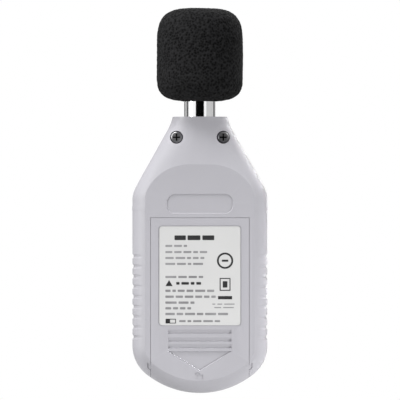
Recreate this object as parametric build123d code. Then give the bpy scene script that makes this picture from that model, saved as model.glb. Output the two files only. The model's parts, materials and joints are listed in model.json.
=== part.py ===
from build123d import *
import math
import os

os.makedirs("parts", exist_ok=True)

# A hand-held sound level meter, upright on +Z, display towards -Y, battery door towards +Y.
# Millimetres. The origin is the middle of the bottom of the whole object.

# Case
CASE_HALF_WIDTH = 27.5
CASE_HALF_DEPTH = 13.0
CASE_TOP = 112.5
WALL = 2.0
SIDE_POWER = 4.0
SIDE_DEPTH = 14.93
END_RADIUS = 15.0
END_X = CASE_HALF_WIDTH - END_RADIUS
END_Z = 19.4
# The sole's arc touches the ground and runs smoothly into the two corner arcs.
SOLE_RADIUS = (END_X ** 2 + END_Z ** 2 - END_RADIUS ** 2) / (2 * (END_Z - END_RADIUS))
SOLE_Z = SOLE_RADIUS
NECK_RING_Z = 107.9
ARC_STEPS = 10

# Height, half width, half depth and squareness of the shoulders and neck
SHOULDERS = [
    (74.0, 27.5, 14.93, 4.0),
    (76.5, 27.5, 14.93, 4.0),
    (79.0, 27.48, 14.93, 4.0),
    (81.3, 27.15, 14.9, 4.0),
    (83.5, 26.3, 14.8, 4.0),
    (86.0, 25.0, 14.5, 4.0),
    (89.0, 23.35, 13.93, 3.95),
    (92.5, 21.4, 13.13, 3.75),
    (96.5, 19.15, 12.25, 3.4),
    (101.0, 16.65, 11.3, 2.95),
    (105.0, 14.4, 10.45, 2.65),
    (107.5, 13.0, 9.95, 2.5),
    (110.0, 11.85, 9.45, 2.4),
    (112.5, 11.15, 9.1, 2.3),
]

# Ribbed grip
GRIP_GROOVES = 9
GRIP_Z = 22.9
GRIP_PITCH = 4.105
GRIP_DEPTH = 0.5
GRIP_HALF_HEIGHT = 1.25
GRIP_FLOOR_HALF_HEIGHT = 0.35
GRIP_POWER = 4.2
GRIP_OVERSHOOT = 0.12
GRIP_X = 23.4

# Battery door
DOOR_HALF_WIDTH = 19.95
DOOR_TOP = 71.35
DOOR_GAP = 0.15
DOOR_SKIN = 1.8
DOOR_TONGUE_X = 21.0
DOOR_TONGUE_Y = (11.25, 12.15)
DOOR_TONGUE_TOP = 66.0
DOOR_TAB_HALF_WIDTH = 15.0
DOOR_TAB_TOP = 73.8
ARROW_BARS_Z = [25.1, 21.9, 19.2]
ARROW_HALF_WIDTH = 12.8
BAR_DEPTH = 0.6
BAR_TOP = 1.0
BAR_FLOOR = -0.6
BAR_LEDGE = -0.85
ARROW_HEAD_Z = (17.1, 9.6)
ARROW_HEAD_DEPTH = 0.45
RECESS_SLOPE = 0.25
PILL_Z = 77.1
PILL_DEPTH = 0.3
LOCK_Z = 6.9
LOCK_DEPTH = 0.15
LABEL_HALF_WIDTH = 16.5
LABEL_Z = (27.8, 68.0)
LABEL_RADIUS = 1.2
LABEL_THICKNESS = 0.1
LABEL_DEPTH = 0.25

# Battery compartment
POCKET_HALF_WIDTH = 17.4
POCKET_Z = (8.4, 58.4)
POCKET_FLOOR = 0.2
TRAY_WALL = 1.3
CELL_RADIUS = 5.25
CELL_LENGTH = 44.5
CELL_PITCH = 11.5
CELL_Y = 5.6
NUB_RADIUS = 1.9
NUB_LENGTH = 1.2
PLATE = 0.35
SPRING_LENGTH = 4.5

# Case screws, as (x, z)
UPPER_SCREWS = [(-9.5, 104.1), (9.5, 104.1)]
LOWER_SCREWS = [(-14.0, 63.8), (14.0, 63.8)]
HEAD_RADIUS = 2.3
HEAD_HEIGHT = 1.8
UPPER_HEAD_Y = 8.1
LOWER_HEAD_Y = 10.5
BORE_RADIUS = 2.65
SHANK_RADIUS = 1.25
SHANK_TIP_Y = -7.0

# Circuit board
BOARD_Y = (-4.6, -3.0)
BOARD_Z = (9.0, 99.5)
BOARD_SCREWS = [(-20.3, 60.5), (20.3, 60.5), (-12.5, 14.5), (12.5, 14.5)]

# Display
WINDOW_HALF_WIDTH = 14.6
WINDOW_Z = (68.8, 85.8)
FRAME_HALF_WIDTH = 17.0
FRAME_Z = (66.9, 88.2)
PANEL_HALF_WIDTH = 19.6
PANEL_BOTTOM = 26.0
PANEL_SPRING_Z = 80.0
PANEL_ARCH = 12.2
PANEL_THICKNESS = 0.4

# Keys, as (x, z)
KEYS = [(9.0, 55.0), (-9.0, 55.0), (9.0, 39.0), (-9.0, 39.0)]
KEY_WIDTH = 12.0
KEY_HEIGHT = 8.0
KEY_GAP = 0.25
KEY_PROUD = 1.0
SWITCH_TOP = -8.1

# Microphone
TUBE_RADIUS = 6.5
TUBE_HELD_RADIUS = 7.0
TUBE_TOP_RADIUS = 6.3
TUBE_BORE = 5.7
TUBE_Z = (107.7, 144.0)
TUBE_STEP_Z = 118.6
COLLAR_RADIUS = 8.2
COLLAR_Z = (109.5, 110.6)
RING_GROOVE_Z = 111.5
RING_GROOVE_RADIUS = 6.3
SCREEN_Z = (118.7, 157.0)
SCREEN_RADIUS = 17.7
SCREEN_POWER = 3.7
SCREEN_CROWN = 18.0
SCREEN_FOOT = 12.0
SCREEN_BORE = 6.4
SCREEN_BORE_TOP = 147.0


def block(x0, x1, y0, y1, z0, z1):
    """A box between two corners."""
    centre = Pos((x0 + x1) / 2, (y0 + y1) / 2, (z0 + z1) / 2)
    return centre * Box(x1 - x0, y1 - y0, z1 - z0)


def rod_y(x, z, radius, y0, y1):
    """A cylinder along Y."""
    return Pos(x, (y0 + y1) / 2, z) * Rot(90, 0, 0) * Cylinder(radius, y1 - y0)


def rod_z(x, y, radius, z0, z1):
    """A cylinder along Z."""
    return Pos(x, y, (z0 + z1) / 2) * Cylinder(radius, z1 - z0)


def slab_y(outline, y0, y1):
    """A flat outline drawn in X and Z, made solid between two depths."""
    placed = Plane((0, y1, 0), x_dir=(1, 0, 0), z_dir=(0, -1, 0)) * outline
    return extrude(placed, amount=y1 - y0)


def recess(outline, depth):
    """What a sunken shape takes from the back face. Its walls lean outwards."""
    sections = []
    for side, margin in ((-1, 0), (1, 2 * RECESS_SLOPE)):
        level = CASE_HALF_DEPTH + side * depth
        edge = offset(outline, margin, kind=Kind.INTERSECTION) if margin else outline
        placed = Plane((0, level, 0), x_dir=(1, 0, 0), z_dir=(0, -1, 0)) * edge
        sections.append(placed.face().outer_wire())
    return Part() + Solid.make_loft(sections, ruled=True)


def turned(points):
    """A solid of revolution about the microphone axis, from (radius, height) points."""
    outline = Plane.XZ * make_face(Polyline(*points, close=True))
    return revolve(outline, axis=Axis.Z)


def section_edges(half_width, half_depth, power, z=0.0):
    """A level superellipse: one quarter curve and its mirror images."""
    points = []
    for step in range(ARC_STEPS + 1):
        angle = step / ARC_STEPS * math.pi / 2
        x = round(math.cos(angle), 9) ** (2 / power) * half_width
        y = round(math.sin(angle), 9) ** (2 / power) * half_depth
        points.append((x, y, z))
    quarter = Spline(*points, tangents=((0, 1, 0), (-1, 0, 0)))
    back = [quarter, quarter.mirror(Plane.YZ)]
    front = [edge.mirror(Plane.XZ) for edge in reversed(back)]
    return back + front


def section_face(half_width, half_depth, power, z=0.0):
    return make_face(section_edges(half_width, half_depth, power, z))


def section_wire(half_width, half_depth, power, z):
    return Wire(section_edges(half_width, half_depth, power, z))


def rounded_end(inset):
    """The rounded bottom end, up to the height where the sides become straight."""
    section = section_face(CASE_HALF_WIDTH - inset, SIDE_DEPTH - inset, SIDE_POWER)
    corner_part = section & Pos(END_X + 50, 0) * Rectangle(100, 100)
    middle_part = section & Pos(50, 0) * Rectangle(100, 100)
    turn = math.degrees(math.atan2(END_X, SOLE_Z - END_Z))

    corner_axis = Axis((END_X, 0, END_Z), (0, 1, 0))
    corner = revolve(Pos(0, 0, END_Z) * corner_part, axis=corner_axis, revolution_arc=90 - turn)

    shift = SOLE_RADIUS - CASE_HALF_WIDTH
    filler = Pos(shift / 2, 0) * Rectangle(shift, 2 * (SIDE_DEPTH - inset))
    sole_profile = Pos(shift, 0) * middle_part + filler
    sole_profile = Rot(0, 90 - turn, 0) * sole_profile
    sole_axis = Axis((0, 0, SOLE_Z), (0, 1, 0))
    sole = revolve(Pos(0, 0, SOLE_Z) * sole_profile, axis=sole_axis, revolution_arc=2 * turn)
    below = block(-60, 60, -60, 60, -10, END_Z)
    return corner + mirror(corner, about=Plane.YZ) + (sole & below)


def hull(inset):
    """The whole case as a solid, drawn in by an inset on every side."""
    end = rounded_end(inset)
    straight_top = SHOULDERS[0][0]
    section = section_face(CASE_HALF_WIDTH - inset, SIDE_DEPTH - inset, SIDE_POWER, END_Z)
    straight = extrude(section, amount=straight_top - END_Z, dir=(0, 0, 1))
    wires = []
    for z, half_width, half_depth, power in SHOULDERS:
        wires.append(section_wire(half_width - inset, half_depth - inset, power, z))
    upper = Part() + Solid.make_loft(wires)
    half_depth = CASE_HALF_DEPTH - inset
    depth = block(-60, 60, -half_depth, half_depth, -10, CASE_TOP + 10)
    return (end + straight + upper) & depth


def grip_cutter():
    """What the nine grooves on each side take away. They fade out towards the front and back."""
    floor = (CASE_HALF_WIDTH - GRIP_DEPTH, SIDE_DEPTH, GRIP_POWER)
    rim = (CASE_HALF_WIDTH + GRIP_OVERSHOOT, SIDE_DEPTH + GRIP_OVERSHOOT, SIDE_POWER)
    sections = []
    for number in range(GRIP_GROOVES):
        middle = GRIP_Z + number * GRIP_PITCH
        sections.append(section_wire(*rim, middle - GRIP_HALF_HEIGHT))
        sections.append(section_wire(*floor, middle - GRIP_FLOOR_HALF_HEIGHT))
        sections.append(section_wire(*floor, middle + GRIP_FLOOR_HALF_HEIGHT))
        sections.append(section_wire(*rim, middle + GRIP_HALF_HEIGHT))
    core = Part() + Solid.make_loft(sections, ruled=True)
    low = GRIP_Z - GRIP_HALF_HEIGHT + 0.01
    high = GRIP_Z + (GRIP_GROOVES - 1) * GRIP_PITCH + GRIP_HALF_HEIGHT - 0.01
    band = block(GRIP_X, 40, -20, 20, low, high)
    band = band + block(-40, -GRIP_X, -20, 20, low, high)
    return band - core


OUTSIDE = hull(0)
INSIDE = hull(WALL) & block(-60, 60, -60, 60, -10, NECK_RING_Z)
DOOR_INSIDE = hull(DOOR_SKIN)
DOOR_CLEAR_INSIDE = hull(DOOR_SKIN + 0.3)
FLOOR_LIMIT = hull(WALL + 0.35)
TRAY_LIMIT = hull(1.0)
SEAM_LIMIT = hull(0.45)
TONGUE_LIMIT = hull(0.2)
GRIP = grip_cutter()
SHELL = OUTSIDE - INSIDE - GRIP
SEAM = block(-60, 60, -0.2, 0.2, -10, CASE_TOP + 1) - SEAM_LIMIT


def neck_bore():
    """The stepped hole the microphone tube is clamped in, half in each case shell."""
    bore = rod_z(0, 0, TUBE_HELD_RADIUS + 0.03, NECK_RING_Z - 1, CASE_TOP + 1)
    groove = rod_z(0, 0, COLLAR_RADIUS + 0.1, COLLAR_Z[0] - 0.1, COLLAR_Z[1] + 0.1)
    return bore + groove


def panel_outline(margin):
    """The printed front panel: straight sides, rounded foot and an arched top."""
    width = PANEL_HALF_WIDTH + margin
    height = PANEL_SPRING_Z - PANEL_BOTTOM + margin
    straight = Pos(0, PANEL_BOTTOM - margin + height / 2) * Rectangle(2 * width, height)
    top = Pos(0, PANEL_SPRING_Z) * Ellipse(width, PANEL_ARCH + margin)
    outline = straight + top
    feet = outline.vertices().sort_by(Axis.Y)[:2]
    return fillet(feet, 5.0)


def key_outline(margin):
    return RectangleRounded(KEY_WIDTH + 2 * margin, KEY_HEIGHT + 2 * margin, 2.5 + margin)


def label_outline(margin):
    low, high = LABEL_Z
    width, height = 2 * (LABEL_HALF_WIDTH + margin), high - low + 2 * margin
    return Pos(0, (low + high) / 2) * RectangleRounded(width, height, LABEL_RADIUS + margin)


def save(name, shape):
    """Writes one piece, which is one solid."""
    solids = shape.solids()
    if len(solids) != 1:
        volumes = [round(solid.volume, 3) for solid in solids]
        raise ValueError(f"{name} has {len(solids)} solids: {volumes}")
    export_step(solids[0], f"parts/{name}.step")
    return solids[0]


def make_back_case():
    """The back shell, with the battery compartment, the door's slide and the screw bosses."""
    shell = SHELL & block(-60, 60, 0, 60, -10, CASE_TOP + 10)
    wide = POCKET_HALF_WIDTH + TRAY_WALL
    low, high = POCKET_Z[0] - TRAY_WALL, POCKET_Z[1] + TRAY_WALL
    tray = block(-wide, wide, 0, CASE_HALF_DEPTH, low, high)
    ledge = block(-24, 24, 9.4, CASE_HALF_DEPTH, low, 76)
    floor = block(-24, 24, POCKET_FLOOR - 1.4, 0.6, low, high)
    case = shell + ((tray + ledge) & TRAY_LIMIT) + (floor & FLOOR_LIMIT)
    for x, z in UPPER_SCREWS:
        case += rod_y(x, z, BORE_RADIUS + 0.8, 0, 8.2) & OUTSIDE
    for x, z in LOWER_SCREWS:
        case += rod_y(x, z, HEAD_RADIUS + 1.0, 0, 10)

    wide = DOOR_HALF_WIDTH + DOOR_GAP
    opening = block(-wide, wide, 0, 20, -10, DOOR_TOP + DOOR_GAP)
    case -= opening - DOOR_CLEAR_INSIDE
    side = DOOR_TONGUE_X + 0.25
    low, high = DOOR_TONGUE_Y[0] - 0.15, DOOR_TONGUE_Y[1] + 0.15
    case -= block(-side, side, low, high, -10, DOOR_TONGUE_TOP + 0.4)
    side = DOOR_TAB_HALF_WIDTH + 0.3
    case -= block(-side, side, low, high, DOOR_TOP - 1, DOOR_TAB_TOP + 0.4)
    pocket = POCKET_HALF_WIDTH
    case -= block(-pocket, pocket, POCKET_FLOOR, 20, POCKET_Z[0], POCKET_Z[1])

    for x, z in UPPER_SCREWS:
        case -= rod_y(x, z, BORE_RADIUS, UPPER_HEAD_Y - HEAD_HEIGHT - 0.1, 20)
        case -= rod_y(x, z, SHANK_RADIUS + 0.2, -1, 20)
    for x, z in LOWER_SCREWS:
        case -= rod_y(x, z, HEAD_RADIUS + 0.2, LOWER_HEAD_Y - HEAD_HEIGHT - 0.1, 20)
        case -= rod_y(x, z, SHANK_RADIUS + 0.2, -1, 20)
    case -= recess(Pos(0, PILL_Z) * RectangleRounded(26.6, 7.5, 3.2), PILL_DEPTH)
    for x, z in ((-CELL_PITCH, POCKET_Z[1] - 0.6), (CELL_PITCH, POCKET_Z[0] + 0.6)):
        case -= block(x - 1.3, x + 1.3, -3, 1, z - 0.6, z + 0.6)
    return case - neck_bore() - SEAM


def make_front_case():
    """The front shell, with the display window, key holes and the board's bosses."""
    case = SHELL & block(-60, 60, -60, 0, -10, CASE_TOP + 10)
    inner = -CASE_HALF_DEPTH + 1
    for x, z in UPPER_SCREWS:
        case += rod_y(x, z, 2.8, inner, 0) & OUTSIDE
    for x, z in LOWER_SCREWS:
        case += rod_y(x, z, 2.6, inner, 0)
    for x, z in BOARD_SCREWS:
        case += rod_y(x, z, 2.2, inner, BOARD_Y[0]) & OUTSIDE
    for x, z in UPPER_SCREWS + LOWER_SCREWS:
        case -= rod_y(x, z, SHANK_RADIUS, -8, 1)
    for x, z in BOARD_SCREWS:
        case -= rod_y(x, z, 0.9, -8.4, 0)

    face = -CASE_HALF_DEPTH
    case -= slab_y(panel_outline(0.08), face - 1, face + PANEL_THICKNESS + 0.02)
    low, high = WINDOW_Z
    window = Pos(0, (low + high) / 2) * RectangleRounded(2 * WINDOW_HALF_WIDTH, high - low, 1.0)
    case -= slab_y(window, face - 1, face + 4)
    for x, z in KEYS:
        case -= slab_y(Pos(x, z) * key_outline(KEY_GAP), face - 1, face + 4)
    return case - neck_bore() - SEAM


def make_front_panel():
    face = -CASE_HALF_DEPTH
    panel = slab_y(panel_outline(0), face, face + PANEL_THICKNESS)
    low, high = WINDOW_Z
    window = Pos(0, (low + high) / 2) * RectangleRounded(2 * WINDOW_HALF_WIDTH, high - low, 1.0)
    panel -= slab_y(window, face - 1, face + 1)
    for x, z in KEYS:
        panel -= slab_y(Pos(x, z) * key_outline(KEY_GAP), face - 1, face + 1)
    return panel


def make_window():
    low, high = WINDOW_Z
    width = 2 * WINDOW_HALF_WIDTH - 0.1
    outline = Pos(0, (low + high) / 2) * RectangleRounded(width, high - low - 0.1, 0.95)
    return slab_y(outline, -CASE_HALF_DEPTH + 0.1, -CASE_HALF_DEPTH + WALL - 0.2)


def make_display_frame():
    """An open frame that holds the glass and the light guide against the board."""
    wide = FRAME_HALF_WIDTH
    low, high = FRAME_Z
    frame = block(-wide, wide, -10.9, BOARD_Y[0], low, high)
    frame -= block(-wide + 1, wide - 1, -9.9, 0, low + 1, high - 1)
    frame -= block(-WINDOW_HALF_WIDTH, WINDOW_HALF_WIDTH, -12, -9, *WINDOW_Z)
    return frame


def thumb_bar(z):
    """What one bar of the arrow takes from the door: a ramp down to a ledge for the thumb."""
    face = CASE_HALF_DEPTH
    profile = Polyline(
        (face + 0.3, z + BAR_TOP),
        (face, z + BAR_TOP),
        (face - BAR_DEPTH, z + BAR_FLOOR),
        (face, z + BAR_LEDGE),
        (face + 0.3, z + BAR_LEDGE),
        close=True,
    )
    start = Plane((-ARROW_HALF_WIDTH, 0, 0), x_dir=(0, 1, 0), z_dir=(1, 0, 0))
    return extrude(start * make_face(profile), amount=2 * ARROW_HALF_WIDTH)


def make_door():
    """The sliding battery door, wrapping round the bottom end, with an arrow and an open lock."""
    wide = DOOR_HALF_WIDTH
    region = block(-wide, wide, 0.25, 20, -10, DOOR_TOP)
    door = (OUTSIDE - DOOR_INSIDE) & region
    tongue = block(-DOOR_TONGUE_X, DOOR_TONGUE_X, *DOOR_TONGUE_Y, 0, DOOR_TONGUE_TOP)
    half = DOOR_TAB_HALF_WIDTH
    tab = block(-half, half, *DOOR_TONGUE_Y, DOOR_TOP - 1, DOOR_TAB_TOP)
    door += (tongue & TONGUE_LIMIT) + tab
    for z in ARROW_BARS_Z:
        door -= thumb_bar(z)
    base, tip = ARROW_HEAD_Z
    wide = ARROW_HALF_WIDTH - 0.5
    head = make_face(Polyline((-wide, base), (wide, base), (0, tip), close=True))
    door -= recess(head, ARROW_HEAD_DEPTH)
    face = CASE_HALF_DEPTH
    door -= slab_y(label_outline(0.25), face - LABEL_DEPTH, face + 1)
    shackle = (Circle(0.95) - Circle(0.6)) & Pos(0, 1) * Rectangle(2, 2)
    lock = Pos(0, LOCK_Z) * Rectangle(2.6, 1.8) + Pos(1.0, LOCK_Z + 0.88) * shackle
    return door - slab_y(lock, face - LOCK_DEPTH, face + 1)


def make_label():
    floor = CASE_HALF_DEPTH - LABEL_DEPTH
    return slab_y(label_outline(0), floor, floor + LABEL_THICKNESS)


def make_screw(x, z, head_y):
    """A cross-head screw driven along -Y, head_y being the top of its head."""
    seat = head_y - HEAD_HEIGHT
    screw = rod_y(x, z, HEAD_RADIUS, seat, head_y)
    screw = fillet(screw.edges().filter_by(GeomType.CIRCLE).sort_by(Axis.Y)[-1], 0.5)
    screw += rod_y(x, z, SHANK_RADIUS - 0.03, SHANK_TIP_Y, seat)
    low = head_y - HEAD_HEIGHT * 0.6
    screw -= block(x - 1.45, x + 1.45, low, head_y + 1, z - 0.3, z + 0.3)
    screw -= block(x - 0.3, x + 0.3, low, head_y + 1, z - 1.45, z + 1.45)
    return screw


def make_board():
    """The circuit board, which follows the inside of the case."""
    board = FLOOR_LIMIT & block(-60, 60, *BOARD_Y, *BOARD_Z)
    for x, z in LOWER_SCREWS:
        board -= rod_y(x, z, 3.0, -10, 0)
    for x, z in BOARD_SCREWS:
        board -= rod_y(x, z, 1.05, -10, 0)
    return board


def make_board_screw(x, z):
    screw = rod_y(x, z, 1.7, BOARD_Y[1], BOARD_Y[1] + 1.1)
    screw += rod_y(x, z, 0.88, -8.0, BOARD_Y[1])
    top = BOARD_Y[1] + 1.1
    screw -= block(x - 1.0, x + 1.0, top - 0.6, top + 1, z - 0.2, z + 0.2)
    screw -= block(x - 0.2, x + 0.2, top - 0.6, top + 1, z - 1.0, z + 1.0)
    return screw


def make_chip(x, z, width, height, pins):
    """A flat chip on the board's back, with a row of pins on two sides."""
    base = BOARD_Y[1]
    chip = block(x - width / 2, x + width / 2, base + 0.15, base + 1.25, z - height / 2, z + height / 2)
    pitch = height / pins
    for number in range(pins):
        middle = z - height / 2 + (number + 0.5) * pitch
        reach = width / 2 + 0.8
        chip += block(x - reach, x + reach, base, base + 0.35, middle - 0.2, middle + 0.2)
    return chip


def make_key(x, z):
    """A key cap, its flange behind the wall and the post that meets the switch."""
    face = -CASE_HALF_DEPTH
    cap = slab_y(Pos(x, z) * key_outline(0), face - KEY_PROUD, -10.4)
    cap = fillet(cap.faces().sort_by(Axis.Y)[0].edges(), 0.45)
    flange = slab_y(Pos(x, z) * key_outline(0.9), -10.85, -10.0)
    return cap + flange + rod_y(x, z, 1.4, -10.0, SWITCH_TOP - 0.45)


def make_plunger(x, z):
    return rod_y(x, z, 1.6, SWITCH_TOP - 0.4, SWITCH_TOP + 0.5)


def make_switch(x, z):
    """A tactile switch with a well for its plunger and four legs."""
    base = BOARD_Y[0]
    switch = block(x - 3, x + 3, SWITCH_TOP, base, z - 3, z + 3)
    switch -= rod_y(x, z, 1.68, SWITCH_TOP - 1, SWITCH_TOP + 1.0)
    return switch


def make_tube():
    """The bright metal microphone tube, thicker where the neck clamps it."""
    low, high = TUBE_Z
    held, bare, top = TUBE_HELD_RADIUS, TUBE_RADIUS, TUBE_TOP_RADIUS
    groove = RING_GROOVE_Z
    return turned([
        (TUBE_BORE, low),
        (held, low),
        (held, COLLAR_Z[0]),
        (COLLAR_RADIUS, COLLAR_Z[0]),
        (COLLAR_RADIUS, COLLAR_Z[1]),
        (held, COLLAR_Z[1]),
        (held, groove - 0.35),
        (RING_GROOVE_RADIUS, groove - 0.35),
        (RING_GROOVE_RADIUS, groove + 0.35),
        (held, groove + 0.35),
        (held, CASE_TOP - 0.1),
        (bare, CASE_TOP - 0.1),
        (bare, TUBE_STEP_Z),
        (top, TUBE_STEP_Z),
        (top, high),
        (TUBE_BORE, high),
    ])


def make_grid():
    """The protection grid on the microphone: a slotted cap."""
    low, high = TUBE_Z[1], TUBE_Z[1] + 2.2
    grid = turned([
        (0, high - 0.6),
        (TUBE_BORE - 0.1, high - 0.6),
        (TUBE_BORE - 0.1, low),
        (TUBE_TOP_RADIUS, low),
        (TUBE_TOP_RADIUS, high - 0.5),
        (TUBE_TOP_RADIUS - 0.5, high),
        (0, high),
    ])
    for number in range(8):
        slot = Pos(3.5, 0, high) * Box(3.0, 0.7, 3.0)
        grid -= Rot(0, 0, number * 45) * slot
    return grid


def end_curve(radius, height):
    """Radius and height from the side of a rounded foam end to its pole."""
    points = []
    for step in range(ARC_STEPS + 1):
        angle = step / ARC_STEPS * math.pi / 2
        across = radius * round(math.cos(angle), 9) ** (2 / SCREEN_POWER)
        along = height * math.sin(angle) ** (2 / SCREEN_POWER)
        points.append((across, along))
    return points


def make_screen():
    """The foam windscreen: a thick cylinder with softly rounded ends and a blind bore."""
    low, high = SCREEN_Z
    crown_low, foot_high = high - SCREEN_CROWN, low + SCREEN_FOOT
    crown = [(x, crown_low + z) for x, z in end_curve(SCREEN_RADIUS, SCREEN_CROWN)]
    foot = [(x, foot_high - z) for x, z in end_curve(SCREEN_RADIUS, SCREEN_FOOT)]
    outline = [
        Spline(*crown, tangents=((0, 1), (-1, 0))),
        Spline(*foot, tangents=((0, -1), (-1, 0))),
        Line(crown[0], foot[0]),
        Line(crown[-1], foot[-1]),
    ]
    screen = revolve(Plane.XZ * make_face(outline), axis=Axis.Z)
    return screen - rod_z(0, 0, SCREEN_BORE, low - 1, SCREEN_BORE_TOP)


def make_cell(x, low, nub_up):
    """An AAA cell. Its button end is up or down."""
    body_length = CELL_LENGTH - NUB_LENGTH
    if nub_up:
        body = rod_z(x, CELL_Y, CELL_RADIUS, low, low + body_length)
        nub = rod_z(x, CELL_Y, NUB_RADIUS, low + body_length, low + CELL_LENGTH)
    else:
        body = rod_z(x, CELL_Y, CELL_RADIUS, low + NUB_LENGTH, low + CELL_LENGTH)
        nub = rod_z(x, CELL_Y, NUB_RADIUS, low, low + NUB_LENGTH)
    rims = body.edges().filter_by(GeomType.CIRCLE)
    return fillet(rims, 0.4) + nub


def make_spring(x, low):
    """A battery spring, a plain helix of wire."""
    wire = 0.3
    path = Helix(pitch=1.28, height=SPRING_LENGTH - 2 * wire - 0.06, radius=3.0)
    start = path @ 0
    outline = Plane(origin=start, z_dir=path % 0) * Circle(wire)
    coil = sweep(outline, path=path, is_frenet=True)
    return Pos(x, CELL_Y, low + wire + 0.03) * coil


def make_contact(x0, x1, z, lug_x=None):
    """A sheet-metal battery contact, with a lug to the board if it is an end of the row."""
    plate = block(x0, x1, 1.0, 10.2, z, z + PLATE)
    if lug_x is not None:
        plate += block(lug_x - 1.0, lug_x + 1.0, BOARD_Y[1], 1.0, z, z + PLATE)
    return plate & DOOR_CLEAR_INSIDE


def make_lead():
    """The screened lead from the microphone down to the board."""
    path = Spline(
        (0, 0, 135.4),
        (0, 0, 120.0),
        (0, 0, 107.0),
        (0, -1.35, 99.0),
        tangents=((0, 0, -1), (0, 0, -1)),
    )
    outline = Plane(origin=path @ 0, z_dir=path % 0) * Circle(0.8)
    return sweep(outline, path=path)


save("back_case", make_back_case())
save("front_case", make_front_case())
save("front_panel", make_front_panel())
save("lcd_window", make_window())
save("lcd_frame", make_display_frame())
inner = FRAME_HALF_WIDTH - 1.1
save("lcd_glass", block(-inner, inner, -9.85, -7.9, FRAME_Z[0] + 1.1, FRAME_Z[1] - 1.1))
save("lcd_backlight", block(-inner, inner, -7.8, -5.4, FRAME_Z[0] + 4.0, FRAME_Z[1] - 1.1))
strip_z = FRAME_Z[0] + 1.2
save("lcd_contact_strip", block(-14, 14, -7.88, BOARD_Y[0], strip_z, strip_z + 2.2))
save("main_board", make_board())
for number, (x, z) in enumerate(BOARD_SCREWS, 1):
    save(f"board_screw_{number}", make_board_screw(x, z))

save("microcontroller", make_chip(0, 84, 9.0, 9.0, 12))
save("amplifier_chip", make_chip(9.5, 93, 4.0, 5.0, 4))
save("crystal", block(-11.5, -7.5, BOARD_Y[1], -0.8, 79, 89))
save("capacitor_1", rod_y(10.5, 82, 2.5, BOARD_Y[1], 3.0))
save("capacitor_2", rod_y(17, 82, 2.5, BOARD_Y[1], 3.0))
save("trimmer", block(-10, -5, BOARD_Y[1], 0.8, 91.5, 96.5) - rod_y(-7.5, 94, 1.2, 0.2, 2))
save("lead_socket", block(-2.5, 2.5, BOARD_Y[1], 0.3, 94.5, 99.0))

for number, (x, z) in enumerate(KEYS, 1):
    save(f"key_{number}", make_key(x, z))
    save(f"plunger_{number}", make_plunger(x, z))
    save(f"switch_{number}", make_switch(x, z))

save("mic_tube", make_tube())
ring_face = Plane.XZ * Pos(6.71, RING_GROOVE_Z) * Circle(0.29)
save("neck_ring", revolve(ring_face, axis=Axis.Z))
save("mic_grid", make_grid())
save("mic_capsule", rod_z(0, 0, TUBE_BORE - 0.15, 137.1, 143.9) - rod_z(0, 0, 3.6, 143.0, 145))
save("mic_insulator", rod_z(0, 0, TUBE_BORE - 0.03, 135.4, 137.0) - rod_z(0, 0, 1.0, 135, 138))
save("mic_lead", make_lead())
save("windscreen", make_screen())

save("battery_door", make_door())
save("door_label", make_label())
bottom_plate = POCKET_Z[0] + 0.05
top_plate = POCKET_Z[1] - 0.05 - PLATE
spring_low = bottom_plate + PLATE
spring_high = top_plate - SPRING_LENGTH
save("battery_1", make_cell(CELL_PITCH, spring_low + SPRING_LENGTH + 0.02, True))
save("battery_2", make_cell(0, spring_high - CELL_LENGTH - 0.02, False))
save("battery_3", make_cell(-CELL_PITCH, spring_low + SPRING_LENGTH + 0.02, True))
save("battery_spring_1", make_spring(CELL_PITCH, spring_low))
save("battery_spring_2", make_spring(0, spring_high))
save("battery_spring_3", make_spring(-CELL_PITCH, spring_low))
half = CELL_PITCH / 2
save("contact_bottom_end", make_contact(half + 0.5, 17.2, bottom_plate, CELL_PITCH))
save("contact_bottom_pair", make_contact(-17.2, half - 0.5, bottom_plate))
save("contact_top_pair", make_contact(-half + 0.5, 17.2, top_plate))
save("contact_top_end", make_contact(-17.2, -half - 0.5, top_plate, -CELL_PITCH))
save("upper_screw_left", make_screw(*UPPER_SCREWS[1], UPPER_HEAD_Y))
save("upper_screw_right", make_screw(*UPPER_SCREWS[0], UPPER_HEAD_Y))
save("lower_screw_left", make_screw(*LOWER_SCREWS[1], LOWER_HEAD_Y))
save("lower_screw_right", make_screw(*LOWER_SCREWS[0], LOWER_HEAD_Y))
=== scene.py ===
import json
import math
import random

import bmesh
import bpy
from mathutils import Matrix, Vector, noise


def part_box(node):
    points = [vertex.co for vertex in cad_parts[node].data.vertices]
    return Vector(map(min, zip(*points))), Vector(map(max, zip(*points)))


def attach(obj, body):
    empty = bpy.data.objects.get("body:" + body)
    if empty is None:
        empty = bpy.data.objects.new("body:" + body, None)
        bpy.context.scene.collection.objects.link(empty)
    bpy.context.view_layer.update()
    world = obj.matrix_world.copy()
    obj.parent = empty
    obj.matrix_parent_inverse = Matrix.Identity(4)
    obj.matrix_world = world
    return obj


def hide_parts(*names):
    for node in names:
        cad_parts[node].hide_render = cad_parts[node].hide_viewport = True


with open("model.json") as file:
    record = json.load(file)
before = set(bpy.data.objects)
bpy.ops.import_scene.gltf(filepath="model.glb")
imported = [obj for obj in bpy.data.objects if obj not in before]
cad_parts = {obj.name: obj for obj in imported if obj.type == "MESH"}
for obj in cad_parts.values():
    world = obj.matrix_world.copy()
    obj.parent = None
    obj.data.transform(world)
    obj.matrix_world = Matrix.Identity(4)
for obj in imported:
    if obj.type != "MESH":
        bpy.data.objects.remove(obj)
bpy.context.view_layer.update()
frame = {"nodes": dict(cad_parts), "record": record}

MM = 0.001
nodes = frame["nodes"]
scene = bpy.context.scene


# Node helpers

def new_material(name):
    """A material with one Principled shader, and that shader."""
    material = bpy.data.materials.new(name)
    material.use_nodes = True
    return material, material.node_tree.nodes["Principled BSDF"]


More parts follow.
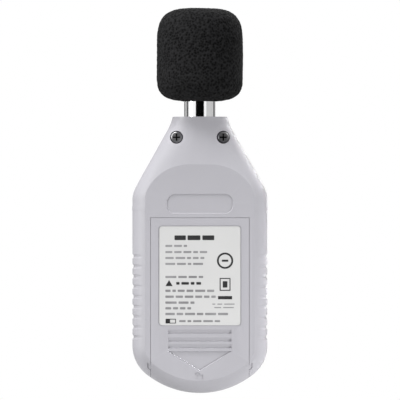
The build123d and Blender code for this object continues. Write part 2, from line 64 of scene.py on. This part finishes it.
def add_node(material, kind, **values):
    """A shader node with its properties and its sockets' numbers set by name."""
    node = material.node_tree.nodes.new(kind)
    for key, value in values.items():
        if key in node.inputs:
            node.inputs[key].default_value = value
        else:
            setattr(node, key, value)
    return node


def link(material, source, target):
    material.node_tree.links.new(source, target)


def noise_value(material, scale, detail=3.0, stretch=(1, 1, 1), roughness=0.55):
    """Noise in the object's own metres, stretched along its axes."""
    place = add_node(material, "ShaderNodeTexCoord")
    mapping = add_node(material, "ShaderNodeMapping")
    mapping.inputs["Scale"].default_value = stretch
    texture = add_node(material, "ShaderNodeTexNoise", Scale=scale, Detail=detail, Roughness=roughness)
    link(material, place.outputs["Object"], mapping.inputs["Vector"])
    link(material, mapping.outputs["Vector"], texture.inputs["Vector"])
    return texture.outputs["Fac"]


def ramp(material, source, low, high, colour_low, colour_high):
    """A colour ramp between two stops."""
    node = add_node(material, "ShaderNodeValToRGB")
    node.color_ramp.elements[0].position = low
    node.color_ramp.elements[1].position = high
    node.color_ramp.elements[0].color = (*colour_low, 1)
    node.color_ramp.elements[1].color = (*colour_high, 1)
    link(material, source, node.inputs["Fac"])
    return node.outputs["Color"]


def add_bump(material, shader, height, strength, distance):
    """Bump from a height, into the shader's normal."""
    bump = add_node(material, "ShaderNodeBump", Strength=strength, Distance=distance)
    link(material, height, bump.inputs["Height"])
    link(material, bump.outputs["Normal"], shader.inputs["Normal"])


def spread(colour, share):
    """A darker and a lighter version of a colour."""
    low = [channel * (1 - share) for channel in colour]
    high = [min(1.0, channel * (1 + share)) for channel in colour]
    return low, high


def finish_material(name, colour, roughness, metallic=0.0, vary=0.04, grain=900.0, bump=0.15):
    """A moulded, rolled or cast surface: slow colour change, uneven gloss and fine grain."""
    material, shader = new_material(name)
    low, high = spread(colour, vary)
    slow = noise_value(material, 60.0, detail=4.0)
    link(material, ramp(material, slow, 0.35, 0.65, low, high), shader.inputs["Base Color"])
    gloss_low, gloss_high = spread([roughness] * 3, 0.12)
    gloss = noise_value(material, 250.0, detail=2.0)
    link(material, ramp(material, gloss, 0.3, 0.7, gloss_low, gloss_high), shader.inputs["Roughness"])
    shader.inputs["Metallic"].default_value = metallic
    add_bump(material, shader, noise_value(material, grain, detail=2.0), bump, 0.05 * MM)
    return material


def case_plastic(name, colour):
    """Fine spark-textured ABS, slightly polished by handling on its raised edges."""
    material, shader = new_material(name)
    low, high = spread(colour, 0.018)
    slow = noise_value(material, 45.0, detail=5.0)
    base = ramp(material, slow, 0.3, 0.7, low, high)
    edge = add_node(material, "ShaderNodeNewGeometry")
    worn = ramp(material, edge.outputs["Pointiness"], 0.505, 0.56, (0, 0, 0), (1, 1, 1))
    rubbed = add_node(material, "ShaderNodeMix", data_type="RGBA", blend_type="MIX")
    light = [min(1.0, channel * 1.06) for channel in colour]
    link(material, worn, rubbed.inputs["Factor"])
    link(material, base, rubbed.inputs["A"])
    rubbed.inputs["B"].default_value = (*light, 1)
    link(material, rubbed.outputs["Result"], shader.inputs["Base Color"])
    gloss = ramp(material, worn, 0.0, 1.0, (0.48, 0.48, 0.48), (0.38, 0.38, 0.38))
    link(material, gloss, shader.inputs["Roughness"])
    grain = noise_value(material, 3200.0, detail=2.0, roughness=0.7)
    add_bump(material, shader, grain, 0.35, 0.03 * MM)
    shader.inputs["Specular IOR Level"].default_value = 0.45
    return material


def foam_material():
    """Open-cell black foam: dark pores between slightly lighter strands."""
    material, shader = new_material("foam_black")
    place = add_node(material, "ShaderNodeTexCoord")
    cells = add_node(material, "ShaderNodeTexVoronoi", Scale=1000.0, Randomness=1.0)
    link(material, place.outputs["Object"], cells.inputs["Vector"])
    pore, strand = (0.0005, 0.0005, 0.0005), (0.014, 0.014, 0.0145)
    strands = ramp(material, cells.outputs["Distance"], 0.15, 0.7, pore, strand)
    link(material, strands, shader.inputs["Base Color"])
    shader.inputs["Roughness"].default_value = 0.95
    shader.inputs["Specular IOR Level"].default_value = 0.1
    add_bump(material, shader, cells.outputs["Distance"], 0.9, 0.35 * MM)
    return material


def chrome_material():
    """Polished plating with faint drawn lines round the tube."""
    material, shader = new_material("chrome_tube")
    shader.inputs["Base Color"].default_value = (0.94, 0.94, 0.945, 1)
    shader.inputs["Metallic"].default_value = 1.0
    lines = noise_value(material, 300.0, detail=2.0, stretch=(1, 1, 25))
    gloss = ramp(material, lines, 0.3, 0.7, (0.06, 0.06, 0.06), (0.12, 0.12, 0.12))
    link(material, gloss, shader.inputs["Roughness"])
    add_bump(material, shader, lines, 0.05, 0.01 * MM)
    return material


def screw_material(name, colour, head_y):
    """Plated steel, rough, with painted shade in its driver slots and on its sides below the head's
    face.
    """
    material = finish_material(name, colour, 0.42, metallic=1.0, vary=0.12)
    shader = material.node_tree.nodes["Principled BSDF"]
    plating = shader.inputs["Base Color"].links[0].from_socket
    place = add_node(material, "ShaderNodeTexCoord")
    axes = add_node(material, "ShaderNodeSeparateXYZ")
    link(material, place.outputs["Object"], axes.inputs["Vector"])
    # Painted shade: from 0.25 mm to 0.75 mm below the head's face the plating darkens to near black,
    # standing in for the shade in the slots and round the head.
    depth = add_node(material, "ShaderNodeMapRange")
    depth.inputs["From Min"].default_value = (head_y - 0.75) * MM
    depth.inputs["From Max"].default_value = (head_y - 0.25) * MM
    link(material, axes.outputs["Y"], depth.inputs["Value"])
    painted_slot_shade = add_node(material, "ShaderNodeMix", data_type="RGBA", blend_type="MIX")
    painted_slot_shade.inputs["A"].default_value = (0.02, 0.02, 0.02, 1)
    link(material, depth.outputs["Result"], painted_slot_shade.inputs["Factor"])
    link(material, plating, painted_slot_shade.inputs["B"])
    link(material, painted_slot_shade.outputs["Result"], shader.inputs["Base Color"])
    return material


def clear_material(name, colour, roughness=0.03):
    """Clear moulded plastic with a few fine scratches."""
    material, shader = new_material(name)
    shader.inputs["Base Color"].default_value = (*colour, 1)
    shader.inputs["Transmission Weight"].default_value = 1.0
    shader.inputs["IOR"].default_value = 1.45
    scratches = noise_value(material, 400.0, detail=4.0)
    gloss = ramp(material, scratches, 0.45, 0.7, [roughness] * 3, [roughness + 0.05] * 3)
    link(material, gloss, shader.inputs["Roughness"])
    return material


SHELL = (0.340, 0.335, 0.360)
DOOR = tuple(channel * 0.985 for channel in SHELL)
SCREW_STEEL = (0.46, 0.46, 0.47)
# Where the faces of the case screws' heads lie along Y, in millimetres.
UPPER_HEAD_Y = 8.1
LOWER_HEAD_Y = 10.5
# The fine, even surface of a print or of a thin film.
PRINT = {"grain": 2500.0, "bump": 0.05}

materials = {
    "shell": case_plastic("shell_plastic", SHELL),
    "door": case_plastic("door_plastic", DOOR),
    "panel": finish_material("panel_film", (0.020, 0.023, 0.032), 0.32, grain=2500.0, bump=0.1),
    "keycap": finish_material("key_rubber", (0.13, 0.14, 0.17), 0.55, grain=2500.0),
    "inner_plastic": finish_material("inner_plastic", (0.012, 0.012, 0.013), 0.5),
    "light_guide": finish_material("light_guide", (0.55, 0.60, 0.42), 0.4),
    "clear": clear_material("clear_lens", (0.93, 0.95, 0.94)),
    "display": finish_material(
        "display_glass", (0.27, 0.30, 0.21), 0.25, vary=0.02, grain=1800.0, bump=0.03
    ),
    "board": finish_material("board_mask", (0.012, 0.085, 0.035), 0.35, vary=0.15, grain=700.0),
    "steel": finish_material("board_screw_steel", (0.50, 0.50, 0.51), 0.40, metallic=1.0, vary=0.12),
    "upper_screw": screw_material("upper_screw_steel", SCREW_STEEL, UPPER_HEAD_Y),
    "lower_screw": screw_material("lower_screw_steel", SCREW_STEEL, LOWER_HEAD_Y),
    "chrome": chrome_material(),
    "microphone": finish_material("microphone_metal", (0.52, 0.52, 0.54), 0.35, metallic=1.0),
    "cell": finish_material("cell_sleeve", (0.02, 0.035, 0.08), 0.3, metallic=0.2),
    "rubber": finish_material("black_rubber", (0.012, 0.012, 0.012), 0.7),
    "label": finish_material(
        "label_film", (0.485, 0.485, 0.483), 0.42, vary=0.012, grain=1500.0, bump=0.05
    ),
    "foam": foam_material(),
    "ink": finish_material("label_ink", (0.018, 0.018, 0.019), 0.45, vary=0.2, **PRINT),
    "ink_grey": finish_material("label_ink_grey", (0.20, 0.20, 0.205), 0.45, vary=0.2, **PRINT),
    "key_ink": finish_material("key_ink", (0.62, 0.63, 0.64), 0.45, vary=0.06, **PRINT),
    "lcd_ink": finish_material("display_ink", (0.015, 0.02, 0.015), 0.4, vary=0.1),
}

# Each CAD node takes the material of its slot in the record, unless it has its own here.
slot_of = {entry["node"]: entry["material_slot"] for entry in frame["record"]["subparts"]}
own_material = {
    "battery_door": "door",
    "lcd_glass": "display",
    "upper_screw_left": "upper_screw",
    "upper_screw_right": "upper_screw",
    "lower_screw_left": "lower_screw",
    "lower_screw_right": "lower_screw",
}
for name, node in nodes.items():
    chosen = own_material.get(name, slot_of[name])
    node.data.materials.clear()
    node.data.materials.append(materials[chosen])


# Mesh helpers

def mesh_piece(name, mesh_builder, body, material):
    """A new piece from a bmesh, riding on a body."""
    mesh = bpy.data.meshes.new(name)
    mesh_builder.to_mesh(mesh)
    mesh_builder.free()
    piece = bpy.data.objects.new(name, mesh)
    scene.collection.objects.link(piece)
    mesh.materials.append(material)
    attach(piece, body)
    return piece


def rounded_outline(width, height, radius, steps=4):
    """The corner points of a rounded rectangle, anticlockwise about its middle."""
    radius = min(radius, width / 2 - 1e-6, height / 2 - 1e-6)
    points = []
    for corner, (sx, sz) in enumerate(((1, 1), (-1, 1), (-1, -1), (1, -1))):
        for step in range(steps + 1):
            angle = (corner + step / steps) * math.pi / 2
            x = sx * (width / 2 - radius) + radius * math.cos(angle)
            z = sz * (height / 2 - radius) + radius * math.sin(angle)
            points.append((x, z))
    return points


def add_plate(builder, points, centre, y_low, y_high):
    """A thin plate from an outline in X and Z, in millimetres."""
    rings = []
    for y in (y_low, y_high):
        corners = [((centre[0] + x) * MM, y * MM, (centre[1] + z) * MM) for x, z in points]
        rings.append([builder.verts.new(corner) for corner in corners])
    builder.faces.new(rings[0])
    builder.faces.new(reversed(rings[1]))
    count = len(points)
    for i in range(count):
        j = (i + 1) % count
        builder.faces.new((rings[0][j], rings[0][i], rings[1][i], rings[1][j]))


def add_bar(builder, x, z, width, height, y_low, y_high, radius):
    """A thin bar with rounded corners, about its middle."""
    add_plate(builder, rounded_outline(width, height, radius, 2), (x, z), y_low, y_high)


# Windscreen foam, in millimetres

FOAM_FOOT = 12.0
FOAM_CROWN = 18.0
FOAM_POWER = 3.7
FOAM_ROWS = 110
FOAM_SEGMENTS = 260
FOAM_BORE = 6.42
FOAM_BORE_DEPTH = 28.3
BORE_ROWS = 20
FOOT_RINGS = 5
CROWN_RINGS = 10
# The foam stays this far inside the CAD solid before its surface is made uneven.
FOAM_SIDE_INSET = 0.05
FOAM_TOP_INSET = 0.1


def foam_profile(low, high, radius):
    """Radius at each height of the foam, whose two ends are rounded off as superellipses."""
    points = []
    for step in range(FOAM_ROWS + 1):
        turn = math.pi * (0.03 + 0.97 * step / FOAM_ROWS)
        z = (low + high) / 2 - (high - low) / 2 * math.cos(turn)
        below = max(0.0, (low + FOAM_FOOT - z) / FOAM_FOOT)
        above = max(0.0, (z - high + FOAM_CROWN) / FOAM_CROWN)
        lower = (1 - below ** FOAM_POWER) ** (1 / FOAM_POWER)
        side = lower * (1 - above ** FOAM_POWER) ** (1 / FOAM_POWER)
        points.append((radius * side, z))
    return points[:-1]


def roughened(vert, bore_top):
    """How far a point of the foam moves: nowhere near the bore, elsewhere a slow swell and pores."""
    reach = math.hypot(vert.co.x, vert.co.y)
    if reach < FOAM_BORE + 0.5 and vert.co.z < bore_top + 1:
        return Vector((0, 0, 0))
    slow = noise.noise(vert.co * 0.12) * 0.12
    pores = noise.noise(vert.co * 1.0) * 0.20 + noise.noise(vert.co * 2.2) * 0.16
    return vert.normal * (slow + min(0.12, pores) - 0.12)


def build_windscreen():
    """The foam with its blind bore, which stands in for the plain CAD solid."""
    low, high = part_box("windscreen")
    bottom, top = low[2] / MM, high[2] / MM
    crown_z = top - FOAM_TOP_INSET
    radius = (high[0] - low[0]) / 2 / MM - FOAM_SIDE_INSET
    bore, bore_top = FOAM_BORE, bottom + FOAM_BORE_DEPTH
    outer = foam_profile(bottom, crown_z, radius)
    first, last = outer[0][0], outer[-1][0]
    profile = []
    for step in range(BORE_ROWS + 1):
        profile.append((bore, bore_top - (bore_top - bottom) * step / BORE_ROWS))
    for step in range(1, FOOT_RINGS + 1):
        profile.append((bore + (first - bore) * step / FOOT_RINGS, bottom))
    profile += outer[1:]
    for step in range(1, CROWN_RINGS):
        profile.append((last * (1 - step / CROWN_RINGS), crown_z))

    segments = FOAM_SEGMENTS
    builder = bmesh.new()
    rings = []
    for r, z in profile:
        ring = []
        for i in range(segments):
            angle = 2 * math.pi * i / segments
            ring.append(builder.verts.new((r * math.cos(angle), r * math.sin(angle), z)))
        rings.append(ring)
    for ring_a, ring_b in zip(rings, rings[1:]):
        for i in range(segments):
            j = (i + 1) % segments
            builder.faces.new((ring_a[i], ring_a[j], ring_b[j], ring_b[i]))
    ceiling = builder.verts.new((0, 0, bore_top))
    crown = builder.verts.new((0, 0, crown_z))
    for i in range(segments):
        j = (i + 1) % segments
        builder.faces.new((ceiling, rings[0][j], rings[0][i]))
        builder.faces.new((crown, rings[-1][i], rings[-1][j]))
    bmesh.ops.recalc_face_normals(builder, faces=builder.faces)
    builder.normal_update()
    moves = [roughened(vert, bore_top) for vert in builder.verts]
    for vert, move in zip(builder.verts, moves):
        vert.co = (vert.co + move) * MM
    for face in builder.faces:
        face.smooth = True
    piece = mesh_piece("windscreen_foam", builder, "windscreen", materials["foam"])
    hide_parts("windscreen")


build_windscreen()


# Label print

def add_ring(builder, centre, radius, stroke, y_low, y_high, start=0.0, end=360.0):
    """A flat ring or arc, its angles in degrees from +X towards +Z."""
    steps = max(6, int((end - start) / 9))
    closed = end - start >= 360
    corners = []
    inner = radius - stroke
    for i in range(steps + (0 if closed else 1)):
        angle = math.radians(start + (end - start) * i / steps)
        square = []
        for r, y in ((inner, y_low), (radius, y_low), (radius, y_high), (inner, y_high)):
            x, z = centre[0] + r * math.cos(angle), centre[1] + r * math.sin(angle)
            square.append(builder.verts.new((x * MM, y * MM, z * MM)))
        corners.append(square)
    following = corners[1:] + corners[:1] if closed else corners[1:]
    for first, second in zip(corners, following):
        for i in range(4):
            j = (i + 1) % 4
            builder.faces.new((first[i], first[j], second[j], second[i]))
    if not closed:
        builder.faces.new(corners[0])
        builder.faces.new(reversed(corners[-1]))


def add_frame(builder, centre, width, height, stroke, y_low, y_high):
    """A rectangle drawn with four bars."""
    x, z = centre
    upright = height - 2 * stroke
    for side in (-1, 1):
        add_bar(builder, x, z + side * (height - stroke) / 2, width, stroke, y_low, y_high, 0.05)
        add_bar(builder, x + side * (width - stroke) / 2, z, stroke, upright, y_low, y_high, 0.05)


LINE_GAP = 0.75
WORD_LENGTHS = (1.3, 4.6)
SHORTEST_REST = 1.2


def word_lengths(maker, total):
    """Word-like lengths that fill a line, with even gaps."""
    lengths = []
    used = 0.0
    while total - used > SHORTEST_REST:
        length = min(maker.uniform(*WORD_LENGTHS), total - used)
        lengths.append(length)
        used += length + LINE_GAP
    return lengths


# Each line of print: distance below the label's top, start and end in X, bar height, and ink.
PRINT_LINES = [
    (8.0, 14.0, 5.2, 0.85, "ink_grey"),
    (10.5, 14.0, -3.4, 0.85, "ink_grey"),
    (12.9, 14.0, -2.6, 0.85, "ink_grey"),
    (15.3, 14.0, -1.3, 0.85, "ink_grey"),
    (20.6, 14.0, -2.2, 0.85, "ink_grey"),
    (23.2, 9.6, -1.0, 1.05, "ink"),
    (26.2, 14.0, -5.8, 0.95, "ink_grey"),
    (28.6, 14.0, -6.4, 0.95, "ink_grey"),
    (31.0, 14.0, 2.2, 0.95, "ink_grey"),
    (33.3, 14.0, 3.0, 0.95, "ink_grey"),
    (35.6, 14.0, -13.2, 0.95, "ink_grey"),
    (31.6, -5.0, -14.4, 0.45, "ink_grey"),
    (33.0, -5.8, -13.8, 0.45, "ink_grey"),
    (38.5, 8.4, -9.2, 0.8, "ink_grey"),
]


# The column of signs at the label's other side, and the small cell sign by the last line.
SIGN_X = -10.2
ROUND_SIGN_DROP = 14.0
SQUARE_SIGN_DROP = 23.6
BAR_SIGN_DROP = 29.0
CELL_SIGN_DROP = 38.5
HEADING_DROP = 4.7
HEADING_BARS = [(8.0, 4.6), (2.4, 5.2), (-3.4, 4.8)]
TRIANGLE = [(-1.45, -1.1), (1.45, -1.1), (0, 1.35)]
INK_THICKNESS = 0.02


def build_label():
    """Plain bars where a label has its lines of print, and plain shapes where it has its signs."""
    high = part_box("door_label")[1]
    face, top = high[1] / MM, high[2] / MM
    y_low, y_high = face, face + INK_THICKNESS
    maker = random.Random(11)
    inks = {"ink": bmesh.new(), "ink_grey": bmesh.new()}
    for drop, start, end, height, ink in PRINT_LINES:
        x = start
        for length in word_lengths(maker, start - end):
            add_bar(inks[ink], x - length / 2, top - drop, length, height, y_low, y_high, 0.2)
            x -= length + LINE_GAP

    black = inks["ink"]
    for x, length in HEADING_BARS:
        add_bar(black, x, top - HEADING_DROP, length, 1.9, y_low, y_high, 0.25)
    z = top - ROUND_SIGN_DROP
    add_ring(black, (SIGN_X, z), 3.3, 0.75, y_low, y_high)
    add_bar(black, SIGN_X, z, 2.6, 0.8, y_low, y_high, 0.1)
    add_plate(black, TRIANGLE, (12.5, top - 23.2), y_low, y_high)
    z = top - SQUARE_SIGN_DROP
    add_frame(black, (SIGN_X, z), 4.4, 5.2, 0.4, y_low, y_high)
    add_bar(black, SIGN_X, z, 1.9, 2.6, y_low, y_high, 0.2)
    add_bar(black, SIGN_X, top - BAR_SIGN_DROP, 5.7, 1.3, y_low, y_high, 0.1)
    z = top - CELL_SIGN_DROP
    add_frame(black, (11.8, z), 4.2, 1.9, 0.3, y_low, y_high)
    add_bar(black, 13.0, z, 1.8, 1.7, y_low, y_high, 0.1)
    for ink, name in (("ink", "label_print"), ("ink_grey", "label_print_grey")):
        bmesh.ops.recalc_face_normals(inks[ink], faces=inks[ink].faces)
        mesh_piece(name, inks[ink], "door", materials[ink])


build_label()


# Key signs and the front panel's print

def dot_points(radius, count):
    """The corners of a small round dot."""
    turns = [2 * math.pi * i / count for i in range(count)]
    return [(radius * math.cos(turn), radius * math.sin(turn)) for turn in turns]


def build_key_signs():
    """A plain sign on each key, in raised ink."""
    for number in range(1, 5):
        low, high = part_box(f"key_{number}")
        x, z = (low[0] + high[0]) / 2 / MM, (low[2] + high[2]) / 2 / MM
        face = low[1] / MM
        y_low, y_high = face - 0.03, face + 0.01
        builder = bmesh.new()
        if number == 1:
            add_ring(builder, (x, z), 1.7, 0.4, y_low, y_high, 125, 415)
            add_bar(builder, x, z + 1.1, 0.4, 1.7, y_low, y_high, 0.1)
        elif number == 2:
            add_plate(builder, [(-1.8, -1.0), (1.8, -1.0), (0, 1.4)], (x, z), y_low, y_high)
            add_bar(builder, x, z + 1.8, 3.6, 0.4, y_low, y_high, 0.1)
        elif number == 3:
            for side in (-1, 1):
                add_bar(builder, x + side * 0.8, z, 0.7, 3.0, y_low, y_high, 0.1)
        else:
            add_ring(builder, (x, z), 1.0, 0.35, y_low, y_high)
            for ray in range(8):
                angle = ray * math.pi / 4
                place = (x + 1.75 * math.cos(angle), z + 1.75 * math.sin(angle))
                add_plate(builder, dot_points(0.24, 10), place, y_low, y_high)
        bmesh.ops.recalc_face_normals(builder, faces=builder.faces)
        mesh_piece(f"key_sign_{number}", builder, f"key_{number}", materials["key_ink"])


build_key_signs()


def build_panel_print():
    """Thin printed lines on the front panel: round the display, above and below the keys."""
    window_low, window_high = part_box("lcd_window")
    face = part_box("front_panel")[0][1] / MM
    y_low, y_high = face - 0.02, face + 0.005
    centre_z = (window_low[2] + window_high[2]) / 2 / MM
    width = (window_high[0] - window_low[0]) / MM
    height = (window_high[2] - window_low[2]) / MM
    builder = bmesh.new()
    add_frame(builder, (0, centre_z), width + 2.2, height + 2.2, 0.28, y_low, y_high)
    rule_z = window_low[2] / MM - 4.2
    add_bar(builder, 0, rule_z, width + 2.2, 0.25, y_low, y_high, 0.05)
    scale_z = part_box("key_3")[0][2] / MM - 4.5
    for step in range(9):
        tall = 1.8 if step % 4 == 0 else 1.0
        add_bar(builder, -12 + step * 3, scale_z, 0.35, tall, y_low, y_high, 0.05)
    bmesh.ops.recalc_face_normals(builder, faces=builder.faces)
    mesh_piece("panel_print", builder, "case", materials["key_ink"])


build_panel_print()


# Display digits

SEGMENTS = {"6": "acdefg", "2": "abdeg", "4": "bcfg"}
DIGITS = [("6", -6.5), ("2", -0.5), ("4", 6.5)]
LEVEL_BARS = 14


def add_digit(builder, text, x, z, height, y_low, y_high):
    """One seven-segment digit, drawn as seen from the front (-Y)."""
    width, stroke = height * 0.52, height * 0.12
    places = {
        "a": (0, height / 2, width, stroke),
        "g": (0, 0, width, stroke),
        "d": (0, -height / 2, width, stroke),
        "f": (-width / 2, height / 4, stroke, height / 2),
        "b": (width / 2, height / 4, stroke, height / 2),
        "e": (-width / 2, -height / 4, stroke, height / 2),
        "c": (width / 2, -height / 4, stroke, height / 2),
    }
    for segment in SEGMENTS[text]:
        dx, dz, wide, tall = places[segment]
        gap = stroke * 0.6
        wide = wide - gap if wide > tall else wide
        tall = tall - gap if tall > wide else tall
        add_bar(builder, x + dx, z + dz, wide, tall, y_low, y_high, stroke * 0.3)


def build_display():
    """A reading with one decimal place, over a bar that shows the level."""
    low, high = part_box("lcd_window")
    centre_z = (low[2] + high[2]) / 2 / MM
    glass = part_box("lcd_glass")[0][1] / MM
    y_low, y_high = glass - 0.04, glass - 0.01
    builder = bmesh.new()
    for text, x in DIGITS:
        add_digit(builder, text, x, centre_z + 1.2, 8.4, y_low, y_high)
    add_bar(builder, 3.1, centre_z - 3.0, 0.9, 0.9, y_low, y_high, 0.2)
    for number in range(LEVEL_BARS):
        tall = 1.4 if number % 5 == 0 else 0.9
        add_bar(builder, -11.0 + number * 1.05, centre_z - 6.3, 0.7, tall, y_low, y_high, 0.1)
    bmesh.ops.recalc_face_normals(builder, faces=builder.faces)
    mesh_piece("display_digits", builder, "case", materials["lcd_ink"])


build_display()


# Studio

def area_light(name, place, target, size, power):
    """A rectangular light turned towards a point and hidden from the camera."""
    data = bpy.data.lights.new(name, "AREA")
    data.shape = "RECTANGLE"
    data.size, data.size_y = size
    data.energy = power
    light = bpy.data.objects.new(name, data)
    scene.collection.objects.link(light)
    light.location = place
    direction = Vector(target) - Vector(place)
    light.rotation_euler = direction.to_track_quat("-Z", "Y").to_euler()
    light.visible_camera = False
    return light


# What the camera and the lights point at, in metres: about the middle of the object.
middle = Vector((-0.00004, 0, 0.0786))

world = bpy.data.worlds.new("studio")
world.use_nodes = True
world.node_tree.nodes["Background"].inputs["Color"].default_value = (1, 1, 1, 1)
world.node_tree.nodes["Background"].inputs["Strength"].default_value = 1.0
scene.world = world
scene.view_settings.view_transform = "Standard"

floor_mesh = bpy.data.meshes.new("floor")
builder = bmesh.new()
bmesh.ops.create_circle(builder, cap_ends=True, segments=96, radius=0.5)
builder.to_mesh(floor_mesh)
builder.free()
floor = bpy.data.objects.new("floor", floor_mesh)
# Low enough for the open battery door, which slides down below the object.
floor.location = (0, 0, -0.09)
scene.collection.objects.link(floor)
floor_mesh.materials.append(finish_material("floor_paper", (0.5, 0.5, 0.5), 0.8, vary=0.01))


def studio_card(name, angle, width, shade, height=1.6):
    """A card hidden from the camera, which is reflected in the object and shades or lights it.

    It stands at an angle from +Y, in degrees, positive towards +X.
    """
    mesh = bpy.data.meshes.new(name)
    builder = bmesh.new()
    bmesh.ops.create_grid(builder, x_segments=1, y_segments=1, size=0.5)
    builder.to_mesh(mesh)
    builder.free()
    card = bpy.data.objects.new(name, mesh)
    turn = math.radians(angle)
    card.location = (CARD_DISTANCE * math.sin(turn), CARD_DISTANCE * math.cos(turn), middle.z)
    card.rotation_euler = (math.pi / 2, 0, -turn)
    card.scale = (width, height, 1)
    card.visible_camera = False
    scene.collection.objects.link(card)
    material = finish_material(name + "_paper", (shade, shade, shade), 0.9)
    material.node_tree.nodes["Principled BSDF"].inputs["Specular IOR Level"].default_value = 0.0
    mesh.materials.append(material)


CARD_DISTANCE = 1.3
studio_card("card_behind_camera", 0, 1.5, 0.0012, height=2.6)
studio_card("card_right", -75, 1.35, 0.5)
studio_card("card_right_edge", -127, 1.0, 0.22)
studio_card("card_left", 104.5, 0.58, 0.12)
studio_card("card_left_edge", 143, 0.75, 0.13)

area_light("key", (0.30, 0.28, 1.15), middle, (0.3, 0.3), 12.0)
area_light("side", (1.0, 0.45, 0.3), middle, (0.25, 0.9), 8.8)
fill = area_light("fill", (-0.92, 0.40, -0.06), (-0.02, 0, 0.01), (0.2, 0.2), 0.17)
fill.data.spread = math.radians(16)
fill.visible_glossy = False
area_light("front_key", (-0.5, -0.6, 0.55), middle, (0.35, 0.35), 3.0)

camera_data = bpy.data.cameras.new("camera")
SENSOR = 36
FRAME_WIDTH = 163.2 * MM
CAMERA_DISTANCE = 2.0
camera_data.sensor_width = SENSOR
camera_data.lens = SENSOR * CAMERA_DISTANCE / FRAME_WIDTH
camera_data.dof.use_dof = False
camera = bpy.data.objects.new("camera", camera_data)
camera.location = middle + Vector((0, CAMERA_DISTANCE, 0))
camera.rotation_euler = (math.pi / 2, 0, math.pi)
scene.collection.objects.link(camera)
scene.camera = camera
